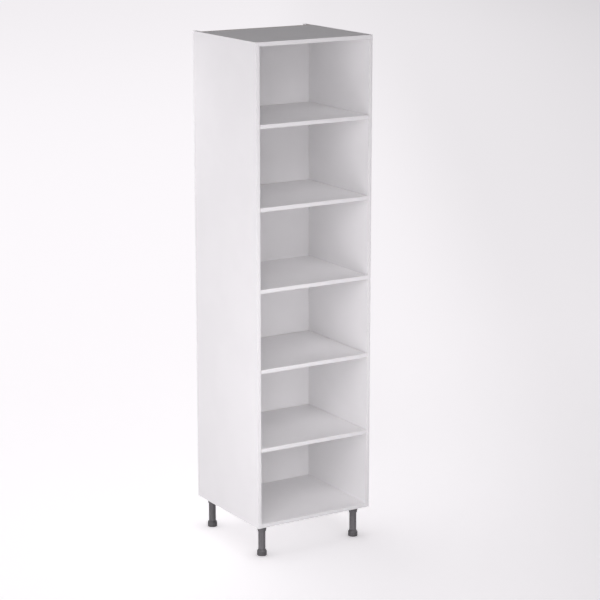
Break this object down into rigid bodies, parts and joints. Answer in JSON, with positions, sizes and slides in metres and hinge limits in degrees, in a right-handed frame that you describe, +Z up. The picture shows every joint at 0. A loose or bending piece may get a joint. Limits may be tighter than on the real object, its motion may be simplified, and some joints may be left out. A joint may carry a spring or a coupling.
{
  "type": "tall kitchen cabinet",
  "caption": "Open-fronted tall kitchen cabinet in white board, with fixed and loose shelves, a back set forward of a service void, and dark plastic screw legs.",
  "frame": {"origin": "on the floor, under the middle of the carcass", "axes": "+X to the right as seen from the front, -Y out of the open front, +Z up"},
  "size_m": [0.6, 0.56, 2.35],
  "materials": {
    "white_board": "satin white melamine on chipboard",
    "white_edging": "satin white edging strip",
    "back_board": "white-faced thin board",
    "leg_plastic": "moulded dark grey plastic",
    "bright_steel": "zinc-plated steel",
    "zinc_casting": "dull cast zinc",
    "cap_plastic": "white moulded plastic",
    "beech": "bare turned beech"
  },
  "bodies": {
    "carcass": {"left_side_panel": "white_board", "right_side_panel": "white_board", "top_panel": "white_board", "bottom_panel": "white_board", "fixed_shelf": "white_board", "left_side_edging": "white_edging", "right_side_edging": "white_edging", "top_edging": "white_edging", "bottom_edging": "white_edging", "fixed_shelf_edging": "white_edging", "back_panel": "back_board", "front_left_leg_socket": "leg_plastic", "front_right_leg_socket": "leg_plastic", "rear_left_leg_socket": "leg_plastic", "rear_right_leg_socket": "leg_plastic", "cam_bolts": "bright_steel", "back_screws": "bright_steel", "leg_screws": "bright_steel", "shelf_1_pins": "bright_steel", "shelf_2_pins": "bright_steel", "shelf_4_pins": "bright_steel", "shelf_5_pins": "bright_steel", "cam_discs": "zinc_casting", "cam_caps": "cap_plastic", "dowels": "beech"},
    "shelf_1": {"shelf_1": "white_board", "shelf_1_edging": "white_edging"},
    "shelf_2": {"shelf_2": "white_board", "shelf_2_edging": "white_edging"},
    "shelf_4": {"shelf_4": "white_board", "shelf_4_edging": "white_edging"},
    "shelf_5": {"shelf_5": "white_board", "shelf_5_edging": "white_edging"},
    "front_left_tube": {"front_left_leg_tube": "leg_plastic"},
    "front_left_foot": {"front_left_foot": "leg_plastic"},
    "front_right_tube": {"front_right_leg_tube": "leg_plastic"},
    "front_right_foot": {"front_right_foot": "leg_plastic"},
    "rear_left_tube": {"rear_left_leg_tube": "leg_plastic"},
    "rear_left_foot": {"rear_left_foot": "leg_plastic"},
    "rear_right_tube": {"rear_right_leg_tube": "leg_plastic"},
    "rear_right_foot": {"rear_right_foot": "leg_plastic"}
  },
  "joints": [
    {"name": "shelf_1_pull", "type": "slide", "parent": "carcass", "child": "shelf_1", "axis": [0, -1, 0], "range_m": [0, 0.46]},
    {"name": "shelf_2_pull", "type": "slide", "parent": "carcass", "child": "shelf_2", "axis": [0, -1, 0], "range_m": [0, 0.46]},
    {"name": "shelf_4_pull", "type": "slide", "parent": "carcass", "child": "shelf_4", "axis": [0, -1, 0], "range_m": [0, 0.46]},
    {"name": "shelf_5_pull", "type": "slide", "parent": "carcass", "child": "shelf_5", "axis": [0, -1, 0], "range_m": [0, 0.46]},
    {"name": "front_left_tube_turn", "type": "hinge", "parent": "carcass", "child": "front_left_tube", "pos_m": [-0.248, -0.223, 0.075], "axis": [0, 0, 1], "range_deg": [0, 1800]},
    {"name": "front_left_foot_screw", "type": "slide", "parent": "carcass", "child": "front_left_foot", "axis": [0, 0, -1], "range_m": [0, 0.025]},
    {"name": "front_right_tube_turn", "type": "hinge", "parent": "carcass", "child": "front_right_tube", "pos_m": [0.248, -0.223, 0.075], "axis": [0, 0, 1], "range_deg": [0, 1800]},
    {"name": "front_right_foot_screw", "type": "slide", "parent": "carcass", "child": "front_right_foot", "axis": [0, 0, -1], "range_m": [0, 0.025]},
    {"name": "rear_left_tube_turn", "type": "hinge", "parent": "carcass", "child": "rear_left_tube", "pos_m": [-0.248, 0.239, 0.075], "axis": [0, 0, 1], "range_deg": [0, 1800]},
    {"name": "rear_left_foot_screw", "type": "slide", "parent": "carcass", "child": "rear_left_foot", "axis": [0, 0, -1], "range_m": [0, 0.025]},
    {"name": "rear_right_tube_turn", "type": "hinge", "parent": "carcass", "child": "rear_right_tube", "pos_m": [0.248, 0.239, 0.075], "axis": [0, 0, 1], "range_deg": [0, 1800]},
    {"name": "rear_right_foot_screw", "type": "slide", "parent": "carcass", "child": "rear_right_foot", "axis": [0, 0, -1], "range_m": [0, 0.025]}
  ],
  "couplings": [
    {"joint": "front_left_foot_screw", "follows": "front_left_tube_turn", "m_per_rad": 0.00079577},
    {"joint": "front_right_foot_screw", "follows": "front_right_tube_turn", "m_per_rad": 0.00079577},
    {"joint": "rear_left_foot_screw", "follows": "rear_left_tube_turn", "m_per_rad": 0.00079577},
    {"joint": "rear_right_foot_screw", "follows": "rear_right_tube_turn", "m_per_rad": 0.00079577}
  ]
}
